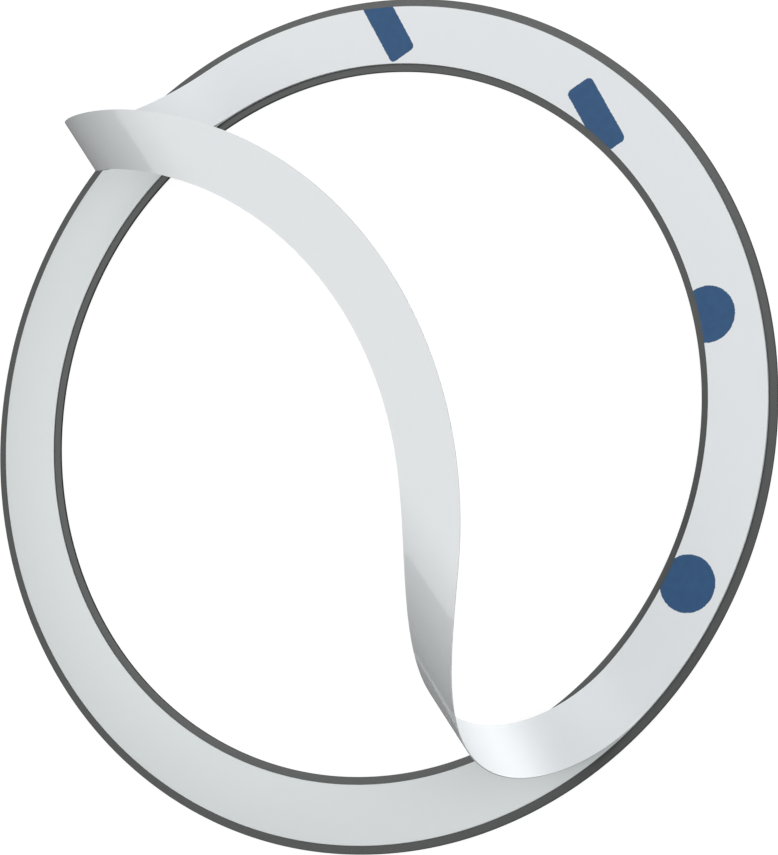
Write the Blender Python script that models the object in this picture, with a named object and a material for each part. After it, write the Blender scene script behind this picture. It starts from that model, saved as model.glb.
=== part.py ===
"""Ring-shaped steel plate for a magnetic phone mount, with its adhesive ring and release liner.

The plate lies on its bare steel face. Three flat rings are stacked on it in the order in which
they are punched and laminated: steel, double-sided tape, release liner. The liner is still stuck
down on the -Y half. The +Y half has been peeled and is rolled back over the plate as one sheet
that bends about the X direction, so its plain underside faces up. The roll is a little tighter
towards +X, and the sheet leaves the tape along a line that is turned slightly from X.

Frame: origin on the ring's axis at the underside of the steel, +Z up, +X along the roll.
"""

import math

import bmesh
import bpy

MM = 0.001

# Steel ring
PLATE_DIAMETER = 56.0 * MM
RING_WIDTH = 4.9 * MM
PLATE_THICKNESS = 0.20 * MM
EDGE_BREAK = 0.04 * MM

# Double-sided tape, set back from both edges of the steel
TAPE_THICKNESS = 0.10 * MM
TAPE_OUTER_SETBACK = 0.55 * MM
TAPE_INNER_SETBACK = 0.50 * MM

# Release liner, cut with the tape and so of the same outline
LINER_THICKNESS = 0.07 * MM
LAYER_CLEARANCE = 0.02 * MM

# Peeled half of the liner: the line where it leaves the tape, and the two bends of its roll
PEEL_LINE_Y = -4.31 * MM
PEEL_LINE_TURN = math.radians(2.13)
PEEL_RADIUS = 7.08 * MM
PEEL_ANGLE = math.radians(50.6)
ROLL_RADIUS = 8.64 * MM
ROLL_ANGLE = math.radians(124.0)
ROLL_TAPER = math.radians(1.05)

# Facets
RING_SEGMENTS = 180
LINER_STEPS_ACROSS = 3


def make_material(name, colour, roughness, metallic):
    """A Principled material with the part's own colour."""
    material = bpy.data.materials.new(name)
    material.use_nodes = True
    shader = material.node_tree.nodes["Principled BSDF"]
    shader.inputs["Base Color"].default_value = (*colour, 1.0)
    shader.inputs["Roughness"].default_value = roughness
    shader.inputs["Metallic"].default_value = metallic
    material.diffuse_color = (*colour, 1.0)
    return material


def turned_ring(name, section, material):
    """A closed ring, made by spinning a section of (radius, height) points about Z."""
    mesh = bmesh.new()
    corners = [mesh.verts.new((radius, 0.0, height)) for radius, height in section]
    edges = [mesh.edges.new((corners[i - 1], corners[i])) for i in range(len(corners))]
    bmesh.ops.spin(
        mesh,
        geom=corners + edges,
        cent=(0.0, 0.0, 0.0),
        axis=(0.0, 0.0, 1.0),
        angle=2.0 * math.pi,
        steps=RING_SEGMENTS,
        use_merge=True,
    )
    bmesh.ops.recalc_face_normals(mesh, faces=mesh.faces)
    data = bpy.data.meshes.new(name)
    mesh.to_mesh(data)
    mesh.free()
    data.materials.append(material)
    data.shade_smooth()
    data.set_sharp_from_angle(angle=math.radians(30.0))
    ring = bpy.data.objects.new(name, data)
    bpy.context.scene.collection.objects.link(ring)
    return ring


def flat_section(inner_radius, outer_radius, bottom, top, steps_across=1):
    """The rectangular section of a flat ring, with its two faces divided across the width."""
    step = (outer_radius - inner_radius) / steps_across
    radii = [inner_radius + step * i for i in range(steps_across + 1)]
    lower = [(radius, bottom) for radius in radii]
    upper = [(radius, top) for radius in reversed(radii)]
    return lower + upper


def punched_section(inner_radius, outer_radius, bottom, top, edge_break):
    """The section of a punched ring, with its four sharp edges broken."""
    return [
        (inner_radius + edge_break, bottom),
        (outer_radius - edge_break, bottom),
        (outer_radius, bottom + edge_break),
        (outer_radius, top - edge_break),
        (outer_radius - edge_break, top),
        (inner_radius + edge_break, top),
        (inner_radius, top - edge_break),
        (inner_radius, bottom + edge_break),
    ]


def roll_profile(distance, roll_radius):
    """Follow the peeled sheet for a distance past the peel line.

    Returns how far it has gone towards +Y, how high it has risen and its slope. The sheet curves
    up where the adhesive lets go, rolls over at a wider radius, and ends in a straight flap that
    points back over the part that is still stuck.
    """
    forward = 0.0
    height = 0.0
    slope = 0.0
    bends = ((PEEL_RADIUS, PEEL_ANGLE), (roll_radius, ROLL_ANGLE))
    for radius, angle in bends:
        turned = min(max(distance, 0.0) / radius, angle)
        forward += radius * (math.sin(slope + turned) - math.sin(slope))
        height += radius * (math.cos(slope) - math.cos(slope + turned))
        slope += turned
        distance -= radius * angle
    straight = max(distance, 0.0)
    forward += straight * math.cos(slope)
    height += straight * math.sin(slope)
    return forward, height, slope


def bend_back(sheet, base_height):
    """Roll the part of a flat sheet that lies past the peel line up and back over the rest."""
    for vertex in sheet.data.vertices:
        x, y, z = vertex.co
        peel_line = PEEL_LINE_Y + x * math.tan(PEEL_LINE_TURN)
        distance = y - peel_line
        if distance <= 0.0:
            continue
        roll_radius = ROLL_RADIUS - x * math.tan(ROLL_TAPER)
        forward, height, slope = roll_profile(distance, roll_radius)
        above = z - base_height
        new_y = peel_line + forward - above * math.sin(slope)
        new_z = base_height + height + above * math.cos(slope)
        vertex.co = (x, new_y, new_z)
    sheet.data.update()


def build_steel_ring(radii, bottom, top):
    colour = make_material("dark_grey_steel", (0.115, 0.118, 0.120), 0.45, 0.35)
    section = punched_section(*radii, bottom, top, EDGE_BREAK)
    return turned_ring("steel_ring", section, colour)


def build_adhesive_tape(radii, bottom, top):
    colour = make_material("pale_grey_adhesive", (0.66, 0.69, 0.69), 0.5, 0.0)
    section = flat_section(*radii, bottom, top)
    return turned_ring("adhesive_tape", section, colour)


def build_release_liner(radii, bottom, top):
    colour = make_material("white_liner_paper", (0.76, 0.79, 0.82), 0.4, 0.0)
    section = flat_section(*radii, bottom, top, LINER_STEPS_ACROSS)
    liner = turned_ring("release_liner", section, colour)
    bend_back(liner, bottom)
    return liner


def main():
    for item in list(bpy.data.objects):
        bpy.data.objects.remove(item, do_unlink=True)

    plate_radius = PLATE_DIAMETER / 2.0
    steel_radii = (plate_radius - RING_WIDTH, plate_radius)
    tape_radii = (steel_radii[0] + TAPE_INNER_SETBACK, steel_radii[1] - TAPE_OUTER_SETBACK)

    steel_top = PLATE_THICKNESS
    tape_bottom = steel_top + LAYER_CLEARANCE
    tape_top = tape_bottom + TAPE_THICKNESS
    liner_bottom = tape_top + LAYER_CLEARANCE
    liner_top = liner_bottom + LINER_THICKNESS

    build_steel_ring(steel_radii, 0.0, steel_top)
    build_adhesive_tape(tape_radii, tape_bottom, tape_top)
    build_release_liner(tape_radii, liner_bottom, liner_top)


main()
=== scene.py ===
"""Finishes of the ring plate: coated steel, bare adhesive and a printed release liner.

The frame holds the three pieces as plain solids. Each operator below builds one piece again from
the sizes that it reads there, finely enough for a close look, and gives it its material. The last
one sets out the studio: floor, sky, lamps and camera.
"""

import math

import bpy
from mathutils import Matrix, Vector


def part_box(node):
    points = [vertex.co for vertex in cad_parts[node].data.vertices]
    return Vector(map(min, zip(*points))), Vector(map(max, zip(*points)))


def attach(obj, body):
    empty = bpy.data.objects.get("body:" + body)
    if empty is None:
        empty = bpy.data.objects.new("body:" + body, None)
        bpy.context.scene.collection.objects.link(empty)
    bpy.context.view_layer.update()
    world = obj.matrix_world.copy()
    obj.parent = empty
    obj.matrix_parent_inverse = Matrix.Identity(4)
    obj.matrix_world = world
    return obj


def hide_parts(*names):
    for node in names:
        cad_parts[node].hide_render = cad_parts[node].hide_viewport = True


bl_info = {
    "name": "Ring Plate",
    "version": (1, 0, 0),
    "blender": (4, 5, 0),
    "location": "View3D > Sidebar > Ring Plate",
    "description": "Builds a steel ring plate with its adhesive and half-peeled release liner",
    "category": "Object",
}

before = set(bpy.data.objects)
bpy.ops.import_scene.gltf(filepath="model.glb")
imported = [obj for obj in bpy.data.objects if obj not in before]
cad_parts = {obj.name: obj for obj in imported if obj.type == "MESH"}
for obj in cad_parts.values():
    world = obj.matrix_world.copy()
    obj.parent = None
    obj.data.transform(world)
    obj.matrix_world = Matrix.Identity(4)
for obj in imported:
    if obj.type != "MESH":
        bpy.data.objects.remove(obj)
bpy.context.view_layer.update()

MM = 0.001
BODY = "root"
FLAT_PLACE = "flat_place"
UNDERSIDE = "underside"
CUT_EDGE = "cut_edge"

# Meshes
MERGE_DISTANCE = 0.001 * MM
ROUND_STEPS = 3
SHARP_ANGLE = math.radians(40.0)

# Fine relief of a surface, for the bump in its material
RELIEF_HEIGHT = 0.001 * MM
RELIEF_STRENGTH = 0.4

# Printed marks: the bar's corners, and where dot and bar sit along their cell, in pitches
BAR_CORNER = 0.35 * MM
DOT_SHIFT = -0.25
BAR_SHIFT = 0.20

# Studio, in metres: the floor turns fully white between the two distances of its fade
FLOOR_WIDTH = 3.0
FLOOR_DROP = 0.01 * MM
FLOOR_FADE = (0.06, 0.50)
SOFTBOX_DISTANCE = 0.45
SPOT_RADIUS = 2.0 * MM
CAMERA_REACH = (0.01, 10.0)

# Camera sensor, in millimetres
SENSOR_WIDTH = 36.0


def ring_sizes(node_name, stuck_before_y=None):
    """Inner and outer radius, bottom and top of a node, from its vertices.

    Where stuck_before_y is given, only the vertices with a lower y count.
    """
    vertices = [v.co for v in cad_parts[node_name].data.vertices]
    if stuck_before_y is not None:
        vertices = [v for v in vertices if v.y < stuck_before_y]
    radii = [math.hypot(v.x, v.y) for v in vertices]
    heights = [v.z for v in vertices]
    return min(radii), max(radii), min(heights), max(heights)


class RingPlateSteel(bpy.types.PropertyGroup):
    """Steel ring"""

    edge_round: bpy.props.FloatProperty(
        name="Edge round",
        description="Radius that deburring leaves on the punched edges",
        default=0.045 * MM,
        min=0.0,
        unit="LENGTH",
        precision=5,
    )
    coat_colour: bpy.props.FloatVectorProperty(
        name="Coat",
        description="Colour of the thin dark coating",
        default=(0.038, 0.042, 0.041),
        min=0.0,
        max=1.0,
        size=3,
        subtype="COLOR",
    )
    # Painted shade: the punched wall is made darker than the coated faces, standing for the shadow
    # that falls on it.
    painted_wall_shade: bpy.props.FloatProperty(
        name="Wall shade",
        description="How much darker the punched wall is than the coated faces",
        default=0.35,
        min=0.0,
        max=1.0,
        subtype="FACTOR",
    )
    grain_size: bpy.props.FloatProperty(
        name="Grain",
        description="Width of the fine lines that rolling leaves in the sheet",
        default=0.09 * MM,
        unit="LENGTH",
        precision=5,
    )
    segments: bpy.props.IntProperty(
        name="Segments",
        description="Facets around the ring",
        default=720,
        min=32,
        subtype="UNSIGNED",
    )


class RingPlateTape(bpy.types.PropertyGroup):
    """Adhesive tape"""

    colour: bpy.props.FloatVectorProperty(
        name="Adhesive",
        description="Colour of the bare adhesive",
        default=(0.680, 0.715, 0.723),
        min=0.0,
        max=1.0,
        size=3,
        subtype="COLOR",
    )
    edge_round: bpy.props.FloatProperty(
        name="Edge round",
        description="Radius of the soft cut edge",
        default=0.035 * MM,
        min=0.0,
        unit="LENGTH",
        precision=5,
    )
    mottle_size: bpy.props.FloatProperty(
        name="Mottle",
        description="Size of the faint patches in the adhesive",
        default=2.4 * MM,
        unit="LENGTH",
        precision=4,
    )
    segments: bpy.props.IntProperty(
        name="Segments",
        description="Facets around the ring",
        default=720,
        min=32,
        subtype="UNSIGNED",
    )


class RingPlateLiner(bpy.types.PropertyGroup):
    """Release liner"""

    peel_line_y: bpy.props.FloatProperty(
        name="Peel line",
        description="Where the liner leaves the adhesive, along Y",
        default=-4.31 * MM,
        unit="LENGTH",
        precision=4,
    )
    peel_line_turn: bpy.props.FloatProperty(
        name="Peel line turn",
        description="Angle between the peel line and the roll",
        default=math.radians(2.13),
        subtype="ANGLE",
    )
    peel_radius: bpy.props.FloatProperty(
        name="Peel radius",
        description="Radius of the first bend, where the adhesive lets go",
        default=7.08 * MM,
        unit="LENGTH",
        precision=4,
    )
    peel_angle: bpy.props.FloatProperty(
        name="Peel angle",
        description="How far the first bend turns",
        default=math.radians(50.6),
        subtype="ANGLE",
    )
    roll_radius: bpy.props.FloatProperty(
        name="Roll radius",
        description="Radius of the roll that the peeled half makes",
        default=8.64 * MM,
        unit="LENGTH",
        precision=4,
    )
    roll_angle: bpy.props.FloatProperty(
        name="Roll angle",
        description="How far the roll turns after the first bend",
        default=math.radians(124.0),
        subtype="ANGLE",
    )
    roll_taper: bpy.props.FloatProperty(
        name="Roll taper",
        description="How much tighter the roll gets towards +X, as the slope of its radius",
        default=math.radians(1.05),
        subtype="ANGLE",
    )
    around: bpy.props.IntProperty(
        name="Around",
        description="Facets around the sheet",
        default=960,
        min=32,
        subtype="UNSIGNED",
    )
    across: bpy.props.IntProperty(
        name="Across",
        description="Facets across the sheet's width",
        default=10,
        min=1,
        subtype="UNSIGNED",
    )
    printed_colour: bpy.props.FloatVectorProperty(
        name="Printed side",
        description="Colour of the printed side of the paper",
        default=(0.762, 0.790, 0.807),
        min=0.0,
        max=1.0,
        size=3,
        subtype="COLOR",
    )
    plain_colour: bpy.props.FloatVectorProperty(
        name="Plain side",
        description="Colour of the coated side that lay on the adhesive",
        default=(0.716, 0.745, 0.758),
        min=0.0,
        max=1.0,
        size=3,
        subtype="COLOR",
    )
    # Painted shade: the cut edge of the white paper gets a grey colour that stands for the shadow
    # along it.
    painted_shade_edge_colour: bpy.props.FloatVectorProperty(
        name="Cut edge",
        description="Colour of the bare paper in the cut edge",
        default=(0.420, 0.440, 0.450),
        min=0.0,
        max=1.0,
        size=3,
        subtype="COLOR",
    )
    ink_colour: bpy.props.FloatVectorProperty(
        name="Ink",
        description="Colour of the printed marks",
        default=(0.030, 0.087, 0.194),
        min=0.0,
        max=1.0,
        size=3,
        subtype="COLOR",
    )
    mark_pitch: bpy.props.FloatVectorProperty(
        name="Mark pitch",
        description="Distance between marks along and across a row",
        default=(27.8 * MM, 9.24 * MM),
        size=2,
        unit="LENGTH",
        precision=4,
    )
    dot_radius: bpy.props.FloatProperty(
        name="Dot radius",
        description="Radius of the round marks",
        default=1.8 * MM,
        unit="LENGTH",
        precision=4,
    )
    bar_size: bpy.props.FloatVectorProperty(
        name="Bar",
        description="Length and height of the bar marks",
        default=(5.0 * MM, 1.9 * MM),
        size=2,
        unit="LENGTH",
        precision=4,
    )
    row_turn: bpy.props.FloatProperty(
        name="Row turn",
        description="Angle of the rows of marks on the flat sheet",
        default=math.radians(-175.2),
        subtype="ANGLE",
    )


class RingPlateStage(bpy.types.PropertyGroup):
    """Stage"""

    floor_colour: bpy.props.FloatVectorProperty(
        name="Floor",
        description="Colour of the floor",
        default=(0.15, 0.15, 0.15),
        min=0.0,
        max=1.0,
        size=3,
        subtype="COLOR",
    )
    floor_glow: bpy.props.FloatProperty(
        name="Floor glow",
        description="White that the camera sees in the floor round the plate, beside its colour",
        default=0.90,
        min=0.0,
        subtype="FACTOR",
    )
    mirror_level: bpy.props.FloatProperty(
        name="Mirror level",
        description="Brightness of the floor and of the low sky in reflections",
        default=0.15,
        min=0.0,
        subtype="FACTOR",
    )
    sky_rise: bpy.props.FloatVectorProperty(
        name="Sky rise",
        description="Heights above the horizon between which the sky turns white in reflections",
        default=(math.radians(24.0), math.radians(64.0)),
        size=2,
        unit="ROTATION",
    )
    world_light: bpy.props.FloatProperty(
        name="Sky",
        description="Strength of the even light from all round",
        default=0.03,
        min=0.0,
        subtype="FACTOR",
    )
    aim: bpy.props.FloatVectorProperty(
        name="Aim",
        description="The point at the middle of the picture",
        default=(-1.47 * MM, -1.03 * MM, 0.0),
        size=3,
        subtype="TRANSLATION",
        unit="LENGTH",
        precision=4,
    )
    azimuth: bpy.props.FloatProperty(
        name="Azimuth",
        description="Camera's turn round the plate from the -Y side",
        default=math.radians(-53.75),
        subtype="ANGLE",
    )
    elevation: bpy.props.FloatProperty(
        name="Elevation",
        description="Camera's height above the horizon",
        default=math.radians(62.69),
        subtype="ANGLE",
    )
    roll: bpy.props.FloatProperty(
        name="Roll",
        description="Camera's turn about its own line of sight",
        default=math.radians(71.34),
        subtype="ANGLE",
    )
    distance: bpy.props.FloatProperty(
        name="Distance",
        description="From the camera to the aim point",
        default=191.9 * MM,
        unit="LENGTH",
    )
    lens: bpy.props.FloatProperty(
        name="Lens",
        description="Focal length, in millimetres",
        default=125.0,
        min=1.0,
    )


class Nodes:
    """Adds nodes to a tree, with their inputs set or linked by place or by name.

    In a name that is given as a keyword, _ stands for a space.
    """

    def __init__(self, tree):
        self.tree = tree
        self.count = 0

    def add(self, kind, settings=None, **inputs):
        node = self.tree.nodes.new(kind)
        node.location = (180 * (self.count % 12), -240 * (self.count // 12))
        self.count += 1
        for name, value in (settings or {}).items():
            setattr(node, name, value)
        self.fill_inputs(node, **inputs)
        return node

    def fill_inputs(self, node, **inputs):
        for name, value in inputs.items():
            self.fill(node.inputs[name.replace("_", " ")], value)

    def fill(self, socket, value):
        if isinstance(value, bpy.types.NodeSocket):
            self.tree.links.new(value, socket)
        else:
            socket.default_value = value

    def maths(self, operation, *values):
        node = self.add("ShaderNodeMath", {"operation": operation})
        for socket, value in zip(node.inputs, values):
            self.fill(socket, value)
        return node.outputs[0]

    def vector_maths(self, operation, *values):
        node = self.add("ShaderNodeVectorMath", {"operation": operation})
        for socket, value in zip(node.inputs, values):
            self.fill(socket, value)
        return node.outputs["Value" if operation == "LENGTH" else "Vector"]

    def parts(self, vector):
        return self.add("ShaderNodeSeparateXYZ", Vector=vector).outputs

    def vector(self, x=0.0, y=0.0, z=0.0):
        return self.add("ShaderNodeCombineXYZ", X=x, Y=y, Z=z).outputs[0]

    def ramp(self, value, start, end, low=0.0, high=1.0):
        """Runs smoothly from low to high as value goes from start to end."""
        node = self.add(
            "ShaderNodeMapRange",
            {"interpolation_type": "SMOOTHSTEP"},
            Value=value,
            From_Min=start,
            From_Max=end,
            To_Min=low,
            To_Max=high,
        )
        return node.outputs[0]


def geometry_tree(name, sizes):
    """A Geometry Nodes tree with one input for each (name, socket type) in sizes."""
    tree = bpy.data.node_groups.new(name, "GeometryNodeTree")
    for size_name, socket_type in sizes:
        tree.interface.new_socket(size_name, in_out="INPUT", socket_type=socket_type)
    tree.interface.new_socket("Geometry", in_out="OUTPUT", socket_type="NodeSocketGeometry")
    nodes = Nodes(tree)
    group_input = nodes.add("NodeGroupInput").outputs
    return nodes, group_input


def end_tree(nodes, geometry):
    """Closes a tree as a plain mesh."""
    real = nodes.add("GeometryNodeRealizeInstances", Geometry=geometry).outputs[0]
    nodes.add("NodeGroupOutput", Geometry=real)
    return nodes.tree


def built_piece(name, tree, values):
    """Runs a tree with its inputs set, and returns the result as a plain mesh object."""
    carrier = bpy.data.objects.new(name + "_build", bpy.data.meshes.new(name + "_build"))
    bpy.context.scene.collection.objects.link(carrier)
    modifier = carrier.modifiers.new("Build", "NODES")
    modifier.node_group = tree
    for item in tree.interface.items_tree:
        if item.in_out == "INPUT":
            modifier[item.identifier] = values[item.name]
    graph = bpy.context.evaluated_depsgraph_get()
    mesh = bpy.data.meshes.new_from_object(carrier.evaluated_get(graph))
    bpy.data.objects.remove(carrier, do_unlink=True)
    mesh.name = name
    mesh.shade_smooth()
    mesh.set_sharp_from_angle(angle=SHARP_ANGLE)
    piece = bpy.data.objects.new(name, mesh)
    bpy.context.scene.collection.objects.link(piece)
    return piece


def hand_over(piece, node_name):
    """Lets a finished piece stand for its node."""
    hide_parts(node_name)
    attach(piece, BODY)


def build_ring(name, node_name, edge_round, segments, finish):
    """Builds a flat ring around its node."""
    inner, outer, bottom, top = ring_sizes(node_name)
    values = {
        "Inner Radius": inner,
        "Outer Radius": outer,
        "Bottom": bottom,
        "Top": top,
        "Edge Round": edge_round,
        "Segments": segments,
        "Finish": finish,
    }
    hand_over(built_piece(name, turned_ring_tree(), values), node_name)


def surface(name):
    """A new material's nodes, its Principled shader and its Object coordinates."""
    material = bpy.data.materials.new(name)
    material.use_nodes = True
    nodes = Nodes(material.node_tree)
    shader = material.node_tree.nodes["Principled BSDF"]
    place = nodes.add("ShaderNodeTexCoord").outputs["Object"]
    return material, nodes, shader, place


def noise(nodes, place, size, detail=3.0, roughness=0.55, stretch=(1.0, 1.0, 1.0)):
    """Noise whose features are about size metres across, stretched along the axes."""
    texture = nodes.add(
        "ShaderNodeTexNoise",
        Vector=nodes.vector_maths("DIVIDE", place, stretch),
        Scale=1.0 / size,
        Detail=detail,
        Roughness=roughness,
    )
    return texture.outputs[0]


def tinted(nodes, colour, factor, spread):
    """A colour that a 0 to 1 factor makes darker or lighter by up to spread."""
    level = nodes.ramp(factor, 0.25, 0.75, 1.0 - spread, 1.0 + spread)
    return nodes.vector_maths("MULTIPLY", tuple(colour), nodes.vector(level, level, level))


def bumped(nodes, height, distance=RELIEF_HEIGHT, strength=RELIEF_STRENGTH, under=None):
    """A bumped normal, on top of the bumps of another one where under is given."""
    node = nodes.add("ShaderNodeBump", Height=height, Distance=distance, Strength=strength)
    if under is not None:
        nodes.fill_inputs(node, Normal=under)
    return node.outputs[0]


def turned_ring_tree():
    """A ring of rectangular section with rounded edges, swept round a circle."""
    nodes, size = geometry_tree(
        "Turned ring",
        (
            ("Inner Radius", "NodeSocketFloat"),
            ("Outer Radius", "NodeSocketFloat"),
            ("Bottom", "NodeSocketFloat"),
            ("Top", "NodeSocketFloat"),
            ("Edge Round", "NodeSocketFloat"),
            ("Segments", "NodeSocketInt"),
            ("Finish", "NodeSocketMaterial"),
        ),
    )
    width = nodes.maths("SUBTRACT", size["Outer Radius"], size["Inner Radius"])
    thickness = nodes.maths("SUBTRACT", size["Top"], size["Bottom"])
    total = nodes.maths("ADD", size["Outer Radius"], size["Inner Radius"])
    middle = nodes.maths("DIVIDE", total, 2.0)
    height_total = nodes.maths("ADD", size["Top"], size["Bottom"])
    middle_height = nodes.maths("DIVIDE", height_total, 2.0)

    path = nodes.add(
        "GeometryNodeCurvePrimitiveCircle", Resolution=size["Segments"], Radius=middle
    ).outputs["Curve"]
    section = nodes.add(
        "GeometryNodeCurvePrimitiveQuadrilateral", Width=width, Height=thickness
    ).outputs["Curve"]
    rounded = nodes.add(
        "GeometryNodeFilletCurve",
        {"mode": "POLY"},
        Curve=section,
        Count=ROUND_STEPS,
        Radius=size["Edge Round"],
    ).outputs[0]
    swept = nodes.add("GeometryNodeCurveToMesh", Curve=path, Profile_Curve=rounded).outputs[0]
    raised = nodes.add(
        "GeometryNodeSetPosition",
        Geometry=swept,
        Offset=nodes.vector(z=middle_height),
    ).outputs[0]
    finished = nodes.add(
        "GeometryNodeSetMaterial", Geometry=raised, Material=size["Finish"]
    ).outputs[0]
    return end_tree(nodes, finished)


def roll_nodes(nodes, size, distance, roll_radius):
    """How far the sheet goes forward, how high it rises and its slope, past the peel line."""
    first_turn = nodes.maths("DIVIDE", distance, size["Peel Radius"])
    first_turn = nodes.maths("MINIMUM", first_turn, size["Peel Angle"])
    first_length = nodes.maths("MULTIPLY", size["Peel Radius"], size["Peel Angle"])
    rest = nodes.maths("MAXIMUM", nodes.maths("SUBTRACT", distance, first_length), 0.0)
    second_turn = nodes.maths("DIVIDE", rest, roll_radius)
    second_turn = nodes.maths("MINIMUM", second_turn, size["Roll Angle"])
    second_length = nodes.maths("MULTIPLY", roll_radius, size["Roll Angle"])
    straight = nodes.maths("MAXIMUM", nodes.maths("SUBTRACT", rest, second_length), 0.0)
    slope = nodes.maths("ADD", first_turn, second_turn)

    sine_gain = nodes.maths("SUBTRACT", nodes.maths("SINE", slope), nodes.maths("SINE", first_turn))
    cosine_gain = nodes.maths(
        "SUBTRACT", nodes.maths("COSINE", first_turn), nodes.maths("COSINE", slope)
    )
    forward = nodes.maths("MULTIPLY", size["Peel Radius"], nodes.maths("SINE", first_turn))
    forward = nodes.maths("MULTIPLY_ADD", roll_radius, sine_gain, forward)
    forward = nodes.maths("MULTIPLY_ADD", straight, nodes.maths("COSINE", slope), forward)
    first_rise = nodes.maths("SUBTRACT", 1.0, nodes.maths("COSINE", first_turn))
    height = nodes.maths("MULTIPLY", size["Peel Radius"], first_rise)
    height = nodes.maths("MULTIPLY_ADD", roll_radius, cosine_gain, height)
    height = nodes.maths("MULTIPLY_ADD", straight, nodes.maths("SINE", slope), height)
    return forward, height, slope


def tag(nodes, geometry, name, data_type, domain, value):
    """Stores a named attribute on a geometry."""
    settings = {"data_type": data_type, "domain": domain}
    return nodes.add(
        "GeometryNodeStoreNamedAttribute", settings, Geometry=geometry, Name=name, Value=value
    ).outputs[0]


def merged(nodes, geometry):
    """Joins the vertices that lie in one place."""
    return nodes.add(
        "GeometryNodeMergeByDistance", Geometry=geometry, Distance=MERGE_DISTANCE
    ).outputs[0]


def rolled_liner_tree():
    """A flat ring of paper that leaves its bed along a line and rolls back over itself."""
    nodes, size = geometry_tree(
        "Rolled liner",
        (
            ("Inner Radius", "NodeSocketFloat"),
            ("Outer Radius", "NodeSocketFloat"),
            ("Bottom", "NodeSocketFloat"),
            ("Top", "NodeSocketFloat"),
            ("Peel Line", "NodeSocketFloat"),
            ("Peel Line Turn", "NodeSocketFloat"),
            ("Peel Radius", "NodeSocketFloat"),
            ("Peel Angle", "NodeSocketFloat"),
            ("Roll Radius", "NodeSocketFloat"),
            ("Roll Angle", "NodeSocketFloat"),
            ("Roll Taper", "NodeSocketFloat"),
            ("Around", "NodeSocketInt"),
            ("Across", "NodeSocketInt"),
            ("Printed Side", "NodeSocketMaterial"),
            ("Plain Side", "NodeSocketMaterial"),
            ("Cut Edge", "NodeSocketMaterial"),
        ),
    )
    grid = nodes.add(
        "GeometryNodeMeshGrid",
        Size_X=1.0,
        Size_Y=1.0,
        Vertices_X=nodes.maths("ADD", size["Around"], 1.0),
        Vertices_Y=nodes.maths("ADD", size["Across"], 1.0),
    )

    here = nodes.parts(nodes.add("GeometryNodeInputPosition").outputs[0])
    turn = nodes.maths("MULTIPLY", here["X"], math.tau)
    share = nodes.maths("ADD", here["Y"], 0.5)
    width = nodes.maths("SUBTRACT", size["Outer Radius"], size["Inner Radius"])
    radius = nodes.maths("MULTIPLY_ADD", share, width, size["Inner Radius"])
    flat_x = nodes.maths("MULTIPLY", radius, nodes.maths("SINE", turn))
    flat_y = nodes.maths("MULTIPLY", radius, nodes.maths("COSINE", turn))
    flat = nodes.add(
        "GeometryNodeSetPosition",
        Geometry=grid.outputs["Mesh"],
        Position=nodes.vector(flat_x, flat_y, size["Bottom"]),
    ).outputs[0]
    sheet = merged(nodes, flat)

    thick = nodes.add(
        "GeometryNodeExtrudeMesh",
        Mesh=sheet,
        Offset=(0.0, 0.0, 1.0),
        Offset_Scale=nodes.maths("SUBTRACT", size["Top"], size["Bottom"]),
        Individual=False,
    )
    lower = nodes.add("GeometryNodeFlipFaces", Mesh=sheet).outputs[0]
    lower = tag(nodes, lower, UNDERSIDE, "BOOLEAN", "FACE", True)
    upper = tag(nodes, thick.outputs["Mesh"], CUT_EDGE, "BOOLEAN", "FACE", thick.outputs["Side"])
    both = nodes.add("GeometryNodeJoinGeometry")
    for part in (lower, upper):
        nodes.tree.links.new(part, both.inputs[0])
    solid = merged(nodes, both.outputs[0])
    place = nodes.add("GeometryNodeInputPosition").outputs[0]
    mapped = tag(nodes, solid, FLAT_PLACE, "FLOAT_VECTOR", "POINT", place)

    x, y, z = nodes.parts(nodes.add("GeometryNodeInputPosition").outputs[0])
    slant = nodes.maths("TANGENT", size["Peel Line Turn"])
    peel_line = nodes.maths("MULTIPLY_ADD", x, slant, size["Peel Line"])
    taper = nodes.maths("MULTIPLY", x, nodes.maths("TANGENT", size["Roll Taper"]))
    roll_radius = nodes.maths("SUBTRACT", size["Roll Radius"], taper)
    past_line = nodes.maths("SUBTRACT", y, peel_line)
    stuck = nodes.maths("MINIMUM", past_line, 0.0)
    peeled = nodes.maths("MAXIMUM", past_line, 0.0)
    forward, height, slope = roll_nodes(nodes, size, peeled, roll_radius)
    above = nodes.maths("SUBTRACT", z, size["Bottom"])
    new_y = nodes.maths("ADD", nodes.maths("ADD", peel_line, stuck), forward)
    lean = nodes.maths("MULTIPLY", above, nodes.maths("SINE", slope))
    new_y = nodes.maths("SUBTRACT", new_y, lean)
    new_z = nodes.maths("ADD", size["Bottom"], height)
    new_z = nodes.maths("MULTIPLY_ADD", above, nodes.maths("COSINE", slope), new_z)
    rolled = nodes.add(
        "GeometryNodeSetPosition", Geometry=mapped, Position=nodes.vector(x, new_y, new_z)
    ).outputs[0]

    finished = nodes.add(
        "GeometryNodeSetMaterial", Geometry=rolled, Material=size["Printed Side"]
    ).outputs[0]
    for name, material in ((UNDERSIDE, size["Plain Side"]), (CUT_EDGE, size["Cut Edge"])):
        tagged = nodes.add("GeometryNodeInputNamedAttribute", {"data_type": "BOOLEAN"}, Name=name)
        finished = nodes.add(
            "GeometryNodeSetMaterial",
            Geometry=finished,
            Selection=tagged.outputs["Attribute"],
            Material=material,
        ).outputs[0]
    return end_tree(nodes, finished)


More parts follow.
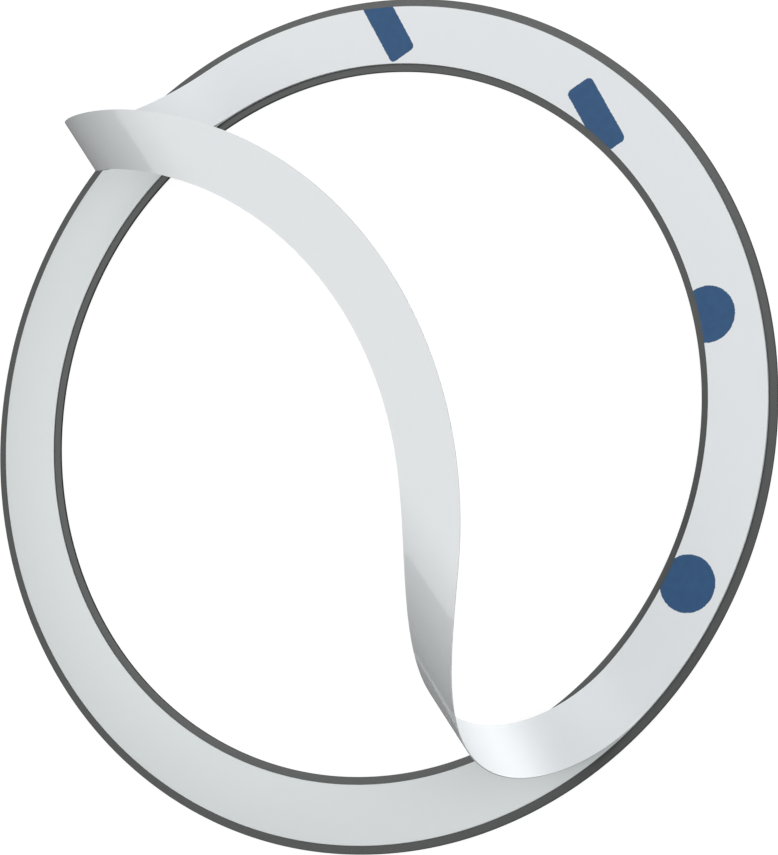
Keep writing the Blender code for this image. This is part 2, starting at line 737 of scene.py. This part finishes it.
def steel_material(steel):
    """Thin dark coating over rolled sheet, with faint lines along the rolling direction, and
    painted shade that darkens the punched walls.
    """
    material, nodes, shader, place = surface("coated_steel_painted_wall_shade")
    lines = noise(nodes, place, size=steel.grain_size, detail=4.0, stretch=(60.0, 1.0, 1.0))
    cloud = noise(nodes, place, size=6.0 * MM, detail=2.0)
    speck = noise(nodes, place, size=0.25 * MM, detail=2.0)
    # Painted shade: faces that stand upright, the punched walls, are darkened as if in shadow.
    normal = nodes.add("ShaderNodeTexCoord").outputs["Normal"]
    upright = nodes.maths("ABSOLUTE", nodes.parts(normal)["Z"])
    wall = nodes.ramp(upright, 0.6, 0.2)
    shade = nodes.ramp(wall, 0.0, 1.0, 1.0, steel.painted_wall_shade)
    colour = tinted(nodes, steel.coat_colour, cloud, spread=0.04)
    colour = nodes.vector_maths("MULTIPLY", colour, nodes.vector(shade, shade, shade))
    nodes.fill_inputs(
        shader,
        Base_Color=colour,
        Metallic=0.15,
        Specular_IOR_Level=0.50,
        Roughness=nodes.ramp(speck, 0.3, 0.7, low=0.32, high=0.38),
        Normal=bumped(nodes, speck, under=bumped(nodes, lines)),
    )
    return material


def adhesive_material(tape):
    """Bare adhesive: satin, with faint patches and the soft orange peel of its surface."""
    material, nodes, shader, place = surface("bare_adhesive")
    patches = noise(nodes, place, size=tape.mottle_size)
    peel = noise(nodes, place, size=0.35 * MM)
    nodes.fill_inputs(
        shader,
        Base_Color=tinted(nodes, tape.colour, patches, spread=0.006),
        Roughness=nodes.ramp(patches, 0.3, 0.7, low=0.42, high=0.46),
        Normal=bumped(nodes, peel),
    )
    return material


def mark_distance(nodes, liner, place):
    """Distance to the edge of the nearest printed mark, below zero inside it.

    The sheet is printed in staggered rows before the ring is cut from it, so the ring's edges cut
    through the marks. Each cell holds a dot and a bar.
    """
    turned = nodes.add(
        "ShaderNodeVectorRotate", {"rotation_type": "Z_AXIS"}, Vector=place, Angle=liner.row_turn
    ).outputs[0]
    along, across, _ = nodes.parts(turned)
    pitch_along, pitch_across = liner.mark_pitch
    row = nodes.maths("DIVIDE", across, pitch_across)
    stagger = nodes.maths("MULTIPLY", nodes.maths("FLOOR", row), 0.5)
    column = nodes.maths("ADD", nodes.maths("DIVIDE", along, pitch_along), stagger)
    cell_x = nodes.maths("SUBTRACT", nodes.maths("FRACT", column), 0.5)
    cell_y = nodes.maths("SUBTRACT", nodes.maths("FRACT", row), 0.5)
    cell_x = nodes.maths("MULTIPLY", cell_x, pitch_along)
    cell_y = nodes.maths("MULTIPLY", cell_y, pitch_across)
    cell = nodes.vector(cell_x, cell_y)

    dot_centre = (DOT_SHIFT * pitch_along, 0.0, 0.0)
    dot = nodes.vector_maths("LENGTH", nodes.vector_maths("SUBTRACT", cell, dot_centre))
    dot = nodes.maths("SUBTRACT", dot, liner.dot_radius)

    bar_length, bar_height = liner.bar_size
    bar_centre = (BAR_SHIFT * pitch_along, 0.0, 0.0)
    half = (bar_length / 2.0 - BAR_CORNER, bar_height / 2.0 - BAR_CORNER, 1.0)
    offset = nodes.vector_maths("ABSOLUTE", nodes.vector_maths("SUBTRACT", cell, bar_centre))
    outside = nodes.vector_maths("SUBTRACT", offset, half)
    outside = nodes.vector_maths("MAXIMUM", outside, (0.0, 0.0, 0.0))
    bar = nodes.maths("SUBTRACT", nodes.vector_maths("LENGTH", outside), BAR_CORNER)
    return nodes.maths("MINIMUM", dot, bar)


def paper_surface(name, colour, roughness):
    """Smooth coated paper, with fibres that show faintly through the coating."""
    material, nodes, shader, place = surface(name)
    fibre = noise(
        nodes, place, size=0.22 * MM, detail=5.0, roughness=0.65, stretch=(3.0, 1.0, 1.0)
    )
    cloud = noise(nodes, place, size=1.6 * MM)
    nodes.fill_inputs(
        shader,
        Roughness=nodes.ramp(cloud, 0.3, 0.7, low=roughness - 0.01, high=roughness + 0.01),
        Normal=bumped(nodes, fibre),
    )
    return material, nodes, shader, tinted(nodes, colour, cloud, spread=0.004)


def printed_side_material(liner):
    """Printed side of the liner: solid marks in one ink on white."""
    material, nodes, shader, paper = paper_surface(
        "liner_printed", liner.printed_colour, roughness=0.50
    )
    settings = {"attribute_type": "GEOMETRY", "attribute_name": FLAT_PLACE}
    flat_place = nodes.add("ShaderNodeAttribute", settings).outputs["Vector"]
    ragged = noise(nodes, flat_place, size=0.12 * MM, detail=2.0)
    blur = 0.02 * MM
    wobble = nodes.ramp(ragged, 0.2, 0.8, low=-blur, high=blur)
    edge = nodes.maths("ADD", mark_distance(nodes, liner, flat_place), wobble)
    cover = nodes.ramp(edge, blur, -blur)
    density = noise(nodes, flat_place, size=0.5 * MM, detail=4.0)
    ink = tinted(nodes, liner.ink_colour, density, spread=0.06)
    mix = nodes.add("ShaderNodeMix", {"data_type": "RGBA"}, Factor=cover)
    # A Mix node has its two colours at inputs 6 and 7 and their mixture at output 2
    nodes.fill(mix.inputs[6], paper)
    nodes.fill(mix.inputs[7], ink)
    nodes.fill_inputs(
        shader,
        Base_Color=mix.outputs[2],
        Specular_IOR_Level=nodes.ramp(cover, 0.0, 1.0, low=0.30, high=0.16),
    )
    return material


def plain_side_material(liner):
    """Release side of the liner: bare paper under a glossy release coat."""
    material, nodes, shader, paper = paper_surface(
        "liner_plain", liner.plain_colour, roughness=0.55
    )
    nodes.fill_inputs(
        shader,
        Base_Color=paper,
        Specular_IOR_Level=0.10,
        Coat_Weight=1.0,
        Coat_Roughness=0.09,
        Coat_IOR=1.6,
    )
    return material


def cut_edge_material(liner):
    """Bare fibres in the cut edge of the liner, duller than its coated sides; its grey is painted
    shade.
    """
    material, nodes, shader, place = surface("liner_cut_edge_painted_shade")
    fibre = noise(nodes, place, size=0.08 * MM, detail=4.0)
    nodes.fill_inputs(
        shader,
        # Painted shade: the cut edge is coloured grey to stand for the shadow along the sheet's
        # thin edge.
        Base_Color=tinted(nodes, liner.painted_shade_edge_colour, fibre, spread=0.12),
        Specular_IOR_Level=0.10,
        Roughness=0.85,
        Normal=bumped(nodes, fibre, distance=0.004 * MM, strength=0.5),
    )
    return material


class RINGPLATE_OT_steel_ring(bpy.types.Operator):
    """Build the steel ring with rounded punched edges and its dark coating"""

    bl_idname = "ring_plate.steel_ring"
    bl_label = "Steel ring"
    bl_options = {"REGISTER", "UNDO"}

    def execute(self, context):
        steel = context.scene.ring_plate_steel
        build_ring(
            "punched_steel_ring",
            "steel_ring",
            edge_round=steel.edge_round,
            segments=steel.segments,
            finish=steel_material(steel),
        )
        return {"FINISHED"}


class RINGPLATE_OT_adhesive_tape(bpy.types.Operator):
    """Build the ring of double-sided tape"""

    bl_idname = "ring_plate.adhesive_tape"
    bl_label = "Adhesive tape"
    bl_options = {"REGISTER", "UNDO"}

    def execute(self, context):
        tape = context.scene.ring_plate_tape
        build_ring(
            "tape_ring",
            "adhesive_tape",
            edge_round=tape.edge_round,
            segments=tape.segments,
            finish=adhesive_material(tape),
        )
        return {"FINISHED"}


class RINGPLATE_OT_release_liner(bpy.types.Operator):
    """Build the release liner, stuck on one half and rolled back on the other"""

    bl_idname = "ring_plate.release_liner"
    bl_label = "Release liner"
    bl_options = {"REGISTER", "UNDO"}

    def execute(self, context):
        liner = context.scene.ring_plate_liner
        stuck_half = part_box("release_liner")[0].y / 2.0
        inner, outer, bottom, top = ring_sizes("release_liner", stuck_half)
        values = {
            "Inner Radius": inner,
            "Outer Radius": outer,
            "Bottom": bottom,
            "Top": top,
            "Peel Line": liner.peel_line_y,
            "Peel Line Turn": liner.peel_line_turn,
            "Peel Radius": liner.peel_radius,
            "Peel Angle": liner.peel_angle,
            "Roll Radius": liner.roll_radius,
            "Roll Angle": liner.roll_angle,
            "Roll Taper": liner.roll_taper,
            "Around": liner.around,
            "Across": liner.across,
            "Printed Side": printed_side_material(liner),
            "Plain Side": plain_side_material(liner),
            "Cut Edge": cut_edge_material(liner),
        }
        sheet = built_piece("rolled_liner", rolled_liner_tree(), values)
        hand_over(sheet, "release_liner")
        return {"FINISHED"}


def add_floor(settings):
    """A wide floor just under the plate, which keeps its soft shadow.

    It is nearly white for the camera round the plate, white further off, and dim in reflections.
    """
    half = FLOOR_WIDTH / 2.0
    corners = ((-half, -half), (half, -half), (half, half), (-half, half))
    mesh = bpy.data.meshes.new("studio_floor")
    mesh.from_pydata([(x, y, -FLOOR_DROP) for x, y in corners], [], [(0, 1, 2, 3)])
    floor = bpy.data.objects.new("studio_floor", mesh)
    bpy.context.scene.collection.objects.link(floor)

    material = bpy.data.materials.new("floor_white")
    material.use_nodes = True
    tree = material.node_tree
    tree.nodes.remove(tree.nodes["Principled BSDF"])
    nodes = Nodes(tree)
    matt = nodes.add("ShaderNodeBsdfDiffuse", Color=(*settings.floor_colour, 1.0))
    place = nodes.add("ShaderNodeTexCoord").outputs["Object"]
    away = nodes.vector_maths("LENGTH", place)
    level = nodes.ramp(away, *FLOOR_FADE, settings.floor_glow, 1.0)
    seen, mirrored = rays_seen(nodes)
    dimmed = nodes.maths("MULTIPLY", mirrored, settings.mirror_level)
    share = nodes.maths("MAXIMUM", seen, dimmed)
    glow = nodes.add("ShaderNodeEmission", Strength=nodes.maths("MULTIPLY", share, level))
    both = nodes.add("ShaderNodeAddShader")
    nodes.fill(both.inputs[0], matt.outputs[0])
    nodes.fill(both.inputs[1], glow.outputs[0])
    nodes.fill_inputs(tree.nodes["Material Output"], Surface=both.outputs[0])
    mesh.materials.append(material)


def rays_seen(nodes):
    """Two outputs: 1 for rays from the camera, and 1 for reflected and transmitted rays."""
    path = nodes.add("ShaderNodeLightPath").outputs
    mirrored = nodes.maths("MAXIMUM", path["Is Glossy Ray"], path["Is Transmission Ray"])
    return path["Is Camera Ray"], mirrored


def set_world(settings):
    """A white sky that lights the plate gently, and is dim near the horizon in reflections."""
    world = bpy.data.worlds.new("studio_sky")
    world.use_nodes = True
    nodes = Nodes(world.node_tree)
    seen, mirrored = rays_seen(nodes)
    direction = nodes.add("ShaderNodeTexCoord").outputs["Object"]
    low, high = [math.sin(angle) for angle in settings.sky_rise]
    level = nodes.ramp(nodes.parts(direction)["Z"], low, high, settings.mirror_level, 1.0)
    share = nodes.maths("MAXIMUM", seen, nodes.maths("MULTIPLY", mirrored, level))
    strength = nodes.maths("MAXIMUM", share, settings.world_light)
    background = world.node_tree.nodes["Background"]
    nodes.fill_inputs(background, Color=(1.0, 1.0, 1.0, 1.0), Strength=strength)
    bpy.context.scene.world = world


def add_lamp(data, place, aim):
    """Puts a lamp at a place, turned to face the aim point."""
    lamp = bpy.data.objects.new(data.name, data)
    lamp.location = place
    lamp.rotation_mode = "QUATERNION"
    lamp.rotation_quaternion = (Vector(place) - Vector(aim)).to_track_quat("Z", "Y")
    bpy.context.scene.collection.objects.link(lamp)


def add_softbox(name, bearing, height, size, power):
    """A round lamp that faces the plate, with its bearing from +X and its height in degrees."""
    data = bpy.data.lights.new(name, "AREA")
    data.shape = "DISK"
    data.size = size
    data.energy = power
    turn, rise = math.radians(bearing), math.radians(height)
    level = math.cos(rise)
    towards = Vector((level * math.cos(turn), level * math.sin(turn), math.sin(rise)))
    add_lamp(data, towards * SOFTBOX_DISTANCE, (0.0, 0.0, 0.0))


def add_spot(name, place, aim, radius, blend, power):
    """A soft-edged spot, with its place, aim and radius at the aim in millimetres."""
    data = bpy.data.lights.new(name, "SPOT")
    data.energy = power
    data.shadow_soft_size = SPOT_RADIUS
    data.spot_blend = blend
    data.spot_size = 2.0 * math.atan(radius / math.dist(place, aim))
    add_lamp(data, Vector(place) * MM, Vector(aim) * MM)


def add_camera(settings):
    """The camera, turned about its own line of sight as the picture is."""
    azimuth, elevation = settings.azimuth, settings.elevation
    back = Vector(
        (
            math.sin(azimuth) * math.cos(elevation),
            -math.cos(azimuth) * math.cos(elevation),
            math.sin(elevation),
        )
    )
    level_right = Vector((math.cos(azimuth), math.sin(azimuth), 0.0))
    level_up = back.cross(level_right)
    right = level_right * math.cos(settings.roll) - level_up * math.sin(settings.roll)
    up = level_up * math.cos(settings.roll) + level_right * math.sin(settings.roll)

    data = bpy.data.cameras.new("camera")
    data.sensor_width = SENSOR_WIDTH
    data.lens = settings.lens
    data.clip_start, data.clip_end = CAMERA_REACH
    camera = bpy.data.objects.new("camera", data)
    place = Vector(settings.aim) + back * settings.distance
    axes = Matrix((right, up, back)).transposed().to_4x4()
    camera.matrix_world = Matrix.Translation(place) @ axes
    bpy.context.scene.collection.objects.link(camera)
    bpy.context.scene.camera = camera


class RINGPLATE_OT_stage(bpy.types.Operator):
    """Set out the floor, the sky, the lamps and the camera"""

    bl_idname = "ring_plate.stage"
    bl_label = "Studio"
    bl_options = {"REGISTER", "UNDO"}

    def execute(self, context):
        settings = context.scene.ring_plate_stage
        add_floor(settings)
        set_world(settings)
        add_softbox("key_softbox", bearing=47.0, height=55.5, size=0.52, power=0.78)
        add_softbox("front_softbox", bearing=221.0, height=38.0, size=0.52, power=1.63)
        add_softbox("side_softbox", bearing=-20.0, height=50.0, size=0.46, power=0.91)
        add_spot(
            "curl_spot",
            place=(-60.0, -170.0, 8.0),
            aim=(-22.0, 2.0, 41.4),
            radius=40.0,
            blend=0.13,
            power=0.79,
        )
        add_camera(settings)
        context.scene.view_settings.view_transform = "Standard"
        return {"FINISHED"}


class RINGPLATE_PT_panel(bpy.types.Panel):
    """Sizes, colours and steps of the ring plate"""

    bl_idname = "RINGPLATE_PT_panel"
    bl_label = "Ring Plate"
    bl_space_type = "VIEW_3D"
    bl_region_type = "UI"
    bl_category = "Ring Plate"

    def draw(self, context):
        for name, operator in STEPS:
            settings = getattr(context.scene, name)
            box = self.layout.box()
            for key in type(settings).__annotations__:
                box.prop(settings, key)
            box.operator(operator.bl_idname)


GROUPS = {
    "ring_plate_steel": RingPlateSteel,
    "ring_plate_tape": RingPlateTape,
    "ring_plate_liner": RingPlateLiner,
    "ring_plate_stage": RingPlateStage,
}
STEPS = (
    ("ring_plate_steel", RINGPLATE_OT_steel_ring),
    ("ring_plate_tape", RINGPLATE_OT_adhesive_tape),
    ("ring_plate_liner", RINGPLATE_OT_release_liner),
    ("ring_plate_stage", RINGPLATE_OT_stage),
)
CLASSES = (*GROUPS.values(), *(operator for _, operator in STEPS), RINGPLATE_PT_panel)


def register():
    for item in CLASSES:
        bpy.utils.register_class(item)
    for name, group in GROUPS.items():
        setattr(bpy.types.Scene, name, bpy.props.PointerProperty(type=group))


def unregister():
    for name in GROUPS:
        delattr(bpy.types.Scene, name)
    for item in reversed(CLASSES):
        bpy.utils.unregister_class(item)


def main():
    register()
    bpy.ops.ring_plate.steel_ring()
    bpy.ops.ring_plate.adhesive_tape()
    bpy.ops.ring_plate.release_liner()
    bpy.ops.ring_plate.stage()


if __name__ == "__main__":
    main()
